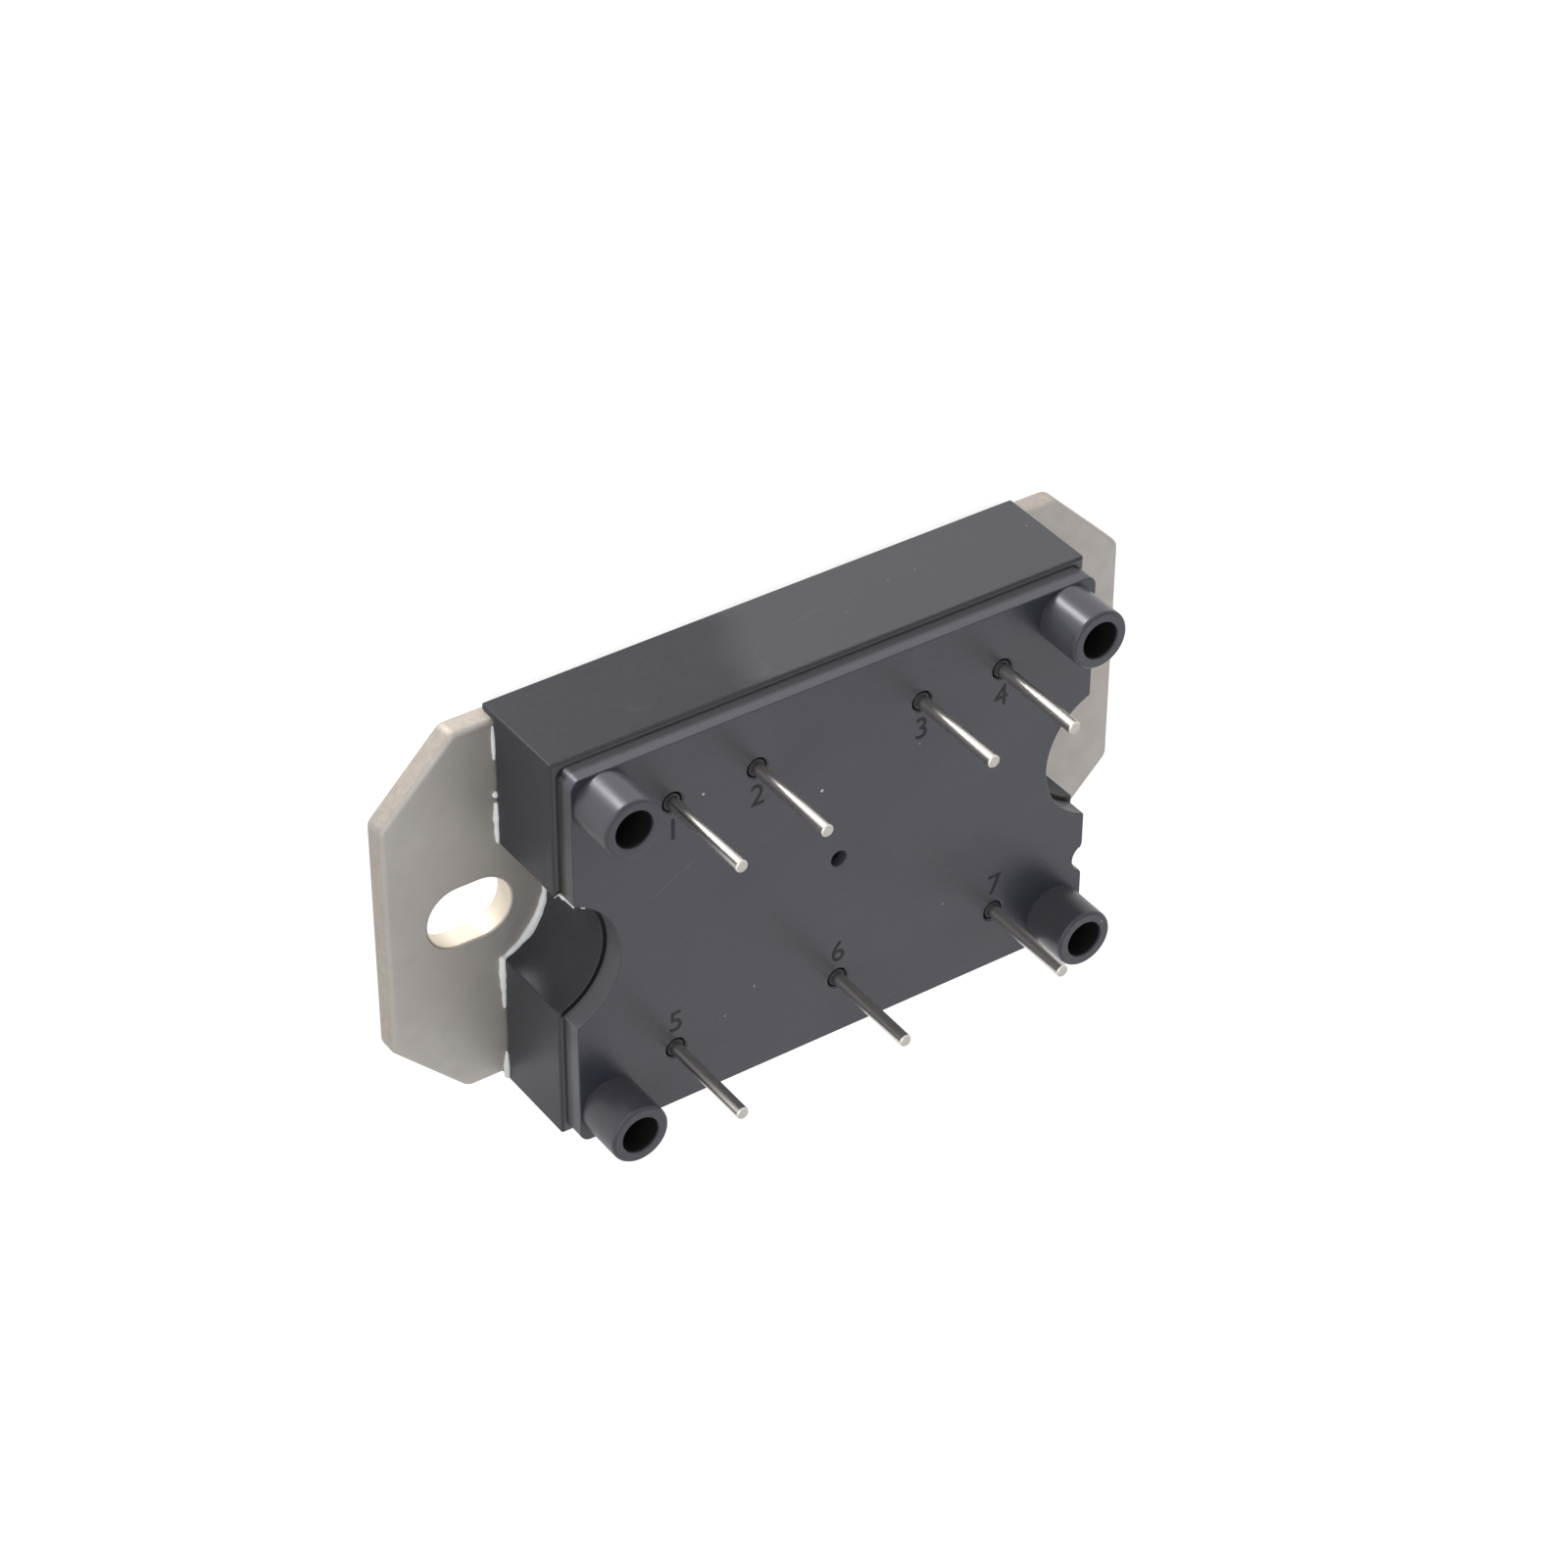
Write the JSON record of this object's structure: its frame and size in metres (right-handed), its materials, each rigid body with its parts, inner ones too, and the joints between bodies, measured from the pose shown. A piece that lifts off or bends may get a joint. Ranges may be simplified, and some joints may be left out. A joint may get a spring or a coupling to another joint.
{
  "type": "three-phase bridge rectifier module",
  "caption": "Black moulded rectifier module with solder pins and hollow standoff posts on a flat nickel-plated base plate with an oblong screw slot at each end.",
  "frame": {"origin": "middle of the base plate's underside", "axes": "+X along the length, towards the end with the keying nick in the lid; +Y across, towards the row of four pins; +Z along the pins, away from the base plate"},
  "size_m": [0.0636, 0.0328, 0.02],
  "materials": {
    "nickel_plate": "satin nickel plating over copper, warmer and brighter on its edges",
    "frame_plastic": "fine satin moulding",
    "lid_plastic": "fine satin moulding, slightly bluish",
    "seal_silicone": "semi-gloss cured silicone",
    "solder": "dull reflowed solder",
    "copper": "clean copper",
    "alumina": "fired ceramic",
    "silicon": "metallised chip",
    "tinned_pin": "bright tin plating over copper",
    "gel": "clear soft silicone"
  },
  "bodies": {
    "root": {"base_plate": "nickel_plate", "housing_frame": "frame_plastic", "lid": "lid_plastic", "silicone_seal": "seal_silicone", "solder_layer": "solder", "substrate_copper": "copper", "ceramic_substrate": "alumina", "track_plus": "copper", "track_minus": "copper", "gel_fill": "gel", "track_ac_1": "copper", "pin_ac_1": "tinned_pin", "diode_plus_1": "silicon", "clip_plus_1": "copper", "diode_minus_1": "silicon", "clip_minus_1": "copper", "track_ac_2": "copper", "pin_ac_2": "tinned_pin", "diode_plus_2": "silicon", "clip_plus_2": "copper", "diode_minus_2": "silicon", "clip_minus_2": "copper", "track_ac_3": "copper", "pin_ac_3": "tinned_pin", "diode_plus_3": "silicon", "clip_plus_3": "copper", "diode_minus_3": "silicon", "clip_minus_3": "copper", "pin_plus_1": "tinned_pin", "pin_minus_1": "tinned_pin", "pin_plus_2": "tinned_pin", "pin_minus_2": "tinned_pin"}
  },
  "joints": []
}
